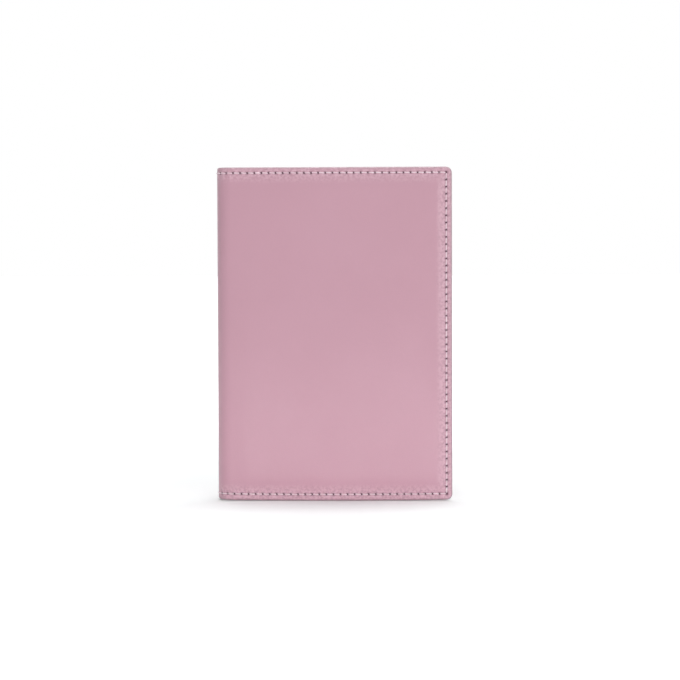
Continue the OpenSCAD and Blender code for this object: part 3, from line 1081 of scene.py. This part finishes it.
def thread_material(deep, pale):
    material, tree, shader = finish("thread", Sheen_Weight=0.15, Sheen_Roughness=0.35)
    place = hide_place(tree)
    colour = drifting(tree, place, THREAD_PATCH, deep, pale)
    fibre = noise(tree, place, FIBRES)
    rough = remap(tree, fibre, *NOISE_RANGE, *FIBRE_ROUGH)
    connect(tree, shader, colour, rough, [(fibre, FIBRE_DEPTH, FIBRE_STRENGTH)])
    return material


thread_finish = thread_material(deep=(0.82, 0.62, 0.69, 1), pale=(0.96, 0.82, 0.87, 1))

# %% Cloth
CLOTH_PATCH = 0.02
GAP_SHADE = 0.55
WEAVE_RANGE, WEAVE_ROUGH = (-0.9, 0.9), (0.8, 0.55)  # heights, and the roughness at both
WEAVE_DEPTH, WEAVE_STRENGTH = 0.00006, 0.6


def cloth(name, deep, pale, gap_shade, pitch, sheen):
    material, tree, shader = finish(name, Specular_IOR_Level=0.25, Sheen_Weight=sheen, Sheen_Roughness=0.5)
    place = hide_place(tree)
    weave = place_effect(tree, cloth_weave, {"Hide": place, "Pitch": pitch})
    tone = drifting(tree, place, CLOTH_PATCH, deep, pale)
    # painted shade: the gaps between the threads are painted darker
    colour = blend_colour(tree, times(tree, weave["Gap"], GAP_SHADE), tone, gap_shade)
    rough = remap(tree, weave["Height"], *WEAVE_RANGE, *WEAVE_ROUGH)
    connect(tree, shader, colour, rough, [(weave["Height"], WEAVE_DEPTH, WEAVE_STRENGTH)])
    return material


lining_finish = cloth("lining", deep=(0.46, 0.27, 0.33, 1), pale=(0.53, 0.33, 0.39, 1),
                      gap_shade=(0.27, 0.14, 0.18, 1), pitch=0.0007, sheen=0.2)
tape_finish = cloth("tape", deep=(0.70, 0.66, 0.60, 1), pale=(0.76, 0.72, 0.66, 1),
                    gap_shade=(0.45, 0.41, 0.36, 1), pitch=0.0009, sheen=0.1)

# %% Foam and board
PATCH_CELLS = 6  # a patch of tone is this many cells wide
CORE_ROUGH = 0.95, 0.8
CORE_STRENGTH = 0.6


def core(name, deep, pale, cell, depth):
    """A matt core with cells or fibres of the given size."""
    material, tree, shader = finish(name, Specular_IOR_Level=0.2)
    place = add(tree, "ShaderNodeTexCoord").outputs["Object"]
    colour = drifting(tree, place, PATCH_CELLS * cell, deep, pale)
    cells = noise(tree, place, 1 / cell, *ROUGH_NOISE)
    rough = remap(tree, cells, *NOISE_RANGE, *CORE_ROUGH)
    connect(tree, shader, colour, rough, [(cells, depth, CORE_STRENGTH)])
    return material


foam_finish = core("foam", deep=(0.62, 0.58, 0.52, 1), pale=(0.72, 0.68, 0.62, 1), cell=0.0006, depth=0.0003)
board_finish = core("board", deep=(0.30, 0.27, 0.23, 1), pale=(0.40, 0.36, 0.31, 1), cell=0.0012,
                    depth=0.0001)

# %% Dress every piece
dressed = [
    (outer_leather, outer_finish),
    ([slip_pocket, passport_sleeve, *card_leaves], pocket_finish),
    (thread, thread_finish),
    (lining, lining_finish),
    (tape, tape_finish),
    (foam, foam_finish),
    ([frame["nodes"][f"{side}_stiffener_board"] for side in ("front", "back")], board_finish),
]
for pieces, material in dressed:
    for piece in pieces:
        piece.data.materials.clear()
        piece.data.materials.append(material)
    print(material.name, "on", [piece.name for piece in pieces])

# %% [markdown]
# ## Floor, light and camera
# The holder stands on a white floor with no horizon. Wide soft light fills the covers from the front and
# the back and the inside from the right, two lamps on the right model the panel, a low one lifts the lower
# border, and one behind and above puts the dark line under the lower edge. The floor and the world are
# white to the camera and in reflections only: a brighter lamp would whiten the floor too, but it would
# bleach the leather. The camera stands a metre away with a long lens, almost straight in front.

# %% White floor
FLOOR_HALF = 6.0
NEAR_GLOW = 0.02, 0.10, 0.02, 0.22  # from and to, in metres from the floor's middle, and the glow at both
FAR_GLOW = 0.13, 0.60, 0.0, 0.58  # the same, added on top
SIDE_GLOW = 1.7  # both rise this much faster to the left and right


def seen_directly(tree):
    """1 for camera, glossy and transmission rays."""
    ray = add(tree, "ShaderNodeLightPath").outputs
    seen = calc(tree, "MAXIMUM", ray["Is Camera Ray"], ray["Is Glossy Ray"])
    return calc(tree, "MAXIMUM", seen, ray["Is Transmission Ray"])


floor_corners = [(x * FLOOR_HALF, y * FLOOR_HALF, 0) for x, y in ((-1, -1), (1, -1), (1, 1), (-1, 1))]
floor_mesh = bpy.data.meshes.new("floor")
floor_mesh.from_pydata(floor_corners, [], [(0, 1, 2, 3)])
floor = add_object("floor", floor_mesh)
floor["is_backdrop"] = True
floor_finish, tree, shader = finish("floor", Base_Color=(0.87, 0.9, 0.9, 1), Roughness=0.9,
                                    Specular_IOR_Level=0.1, Emission_Color=(1, 1, 1, 1))
floor_place = add(tree, "ShaderNodeTexCoord").outputs["Object"]
stretched = vector(tree, "MULTIPLY", floor_place, (SIDE_GLOW, 1, 1))["Vector"]
away = vector(tree, "LENGTH", stretched)["Value"]
glow = calc(tree, "ADD", remap(tree, away, *NEAR_GLOW), remap(tree, away, *FAR_GLOW))
tree.links.new(times(tree, seen_directly(tree), glow), shader.inputs["Emission Strength"])
floor.data.materials.append(floor_finish)

# %% Soft light all round
SOFT_LIGHT = [((0, -1, 0), 1.07), ((0, 1, 0), 0.60), ((1, 0, 0), 0.45)]  # ways it comes from, and how much

world = bpy.data.worlds.new("studio")
bpy.context.scene.world = world
world.use_nodes = True
sky = world.node_tree
background = sky.nodes["Background"]
background.inputs["Color"].default_value = (1, 1, 1, 1)
sky_way = add(sky, "ShaderNodeTexCoord").outputs["Generated"]
soft_light = 0.0
for way, level in SOFT_LIGHT:
    facing = vector(sky, "DOT_PRODUCT", sky_way, way)["Value"]
    soft_light = calc(sky, "ADD", soft_light, remap(sky, facing, 0.0, 1.0, 0.0, level))
sky_level = add(sky, "ShaderNodeMix", {0: seen_directly(sky), 2: soft_light, 3: 1.0}).outputs[0]
sky.links.new(sky_level, background.inputs["Strength"])
bpy.context.scene.view_settings.view_transform = "Standard"
print("soft light from", [way for way, _ in SOFT_LIGHT])


# %% Soft lamps
def soft_lamp(name, place, target, width, tall, power, spread_deg=180):
    lamp = bpy.data.lights.new(name, "AREA")
    lamp.shape, lamp.size, lamp.size_y, lamp.energy = "RECTANGLE", width, tall, power
    lamp.spread = math.radians(spread_deg)
    stand = add_object(name, lamp)
    stand.location = place
    stand.rotation_euler = (Vector(target) - Vector(place)).to_track_quat("-Z", "Y").to_euler()
    print(f"{name}: {power} W at {place}")


soft_lamp("key_lamp", (0.49, -1.06, 0.36), target=(0, 0, 0.07), width=0.16, tall=0.12, power=0.8)
soft_lamp("right_lamp", (0.51, -1.09, 0.06), target=(0, 0, 0.06), width=0.12, tall=0.12, power=1.6)
soft_lamp("low_lamp", (0.0, -0.45, 0.015), target=(0, 0, -0.005), width=0.30, tall=0.02, power=0.007,
          spread_deg=24)
soft_lamp("top_lamp", (0.0, 0.11, 1.20), target=(0, 0, 0), width=0.40, tall=0.40, power=7.0)

# %% Camera
CAMERA_AZIMUTH = 1.77  # degrees to the right of straight on
CAMERA_DISTANCE, CAMERA_HEIGHT = 1.0011, 0.110  # in metres
AIM_YAW, AIM_DOWN, AIM_ROLL = 1.633, 1.936, -0.193  # degrees
LENS, SENSOR = 126.62, 36.0
SHIFT_UP = -0.03

camera = add_object("camera", bpy.data.cameras.new("camera"))
camera.data.lens, camera.data.sensor_width, camera.data.shift_y = LENS, SENSOR, SHIFT_UP
swing, yaw, down = (math.radians(angle) for angle in (CAMERA_AZIMUTH, AIM_YAW, AIM_DOWN))
camera.location = (CAMERA_DISTANCE * math.sin(swing), border_y * MM - CAMERA_DISTANCE * math.cos(swing),
                   CAMERA_HEIGHT)
ahead = Vector((-math.sin(yaw) * math.cos(down), math.cos(yaw) * math.cos(down), -math.sin(down)))
upright_aim = ahead.to_track_quat("-Z", "Y")
camera.rotation_euler = (upright_aim @ Quaternion((0, 0, 1), math.radians(AIM_ROLL))).to_euler()
bpy.context.scene.camera = camera
print("camera at", [round(v, 3) for v in camera.location])

# %% Compare the sizes and finish
low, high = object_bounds()
for label, extent in (("solids", cad_high - cad_low), ("dressed", high - low)):
    print(label, [round(v / MM, 2) for v in extent], "mm")
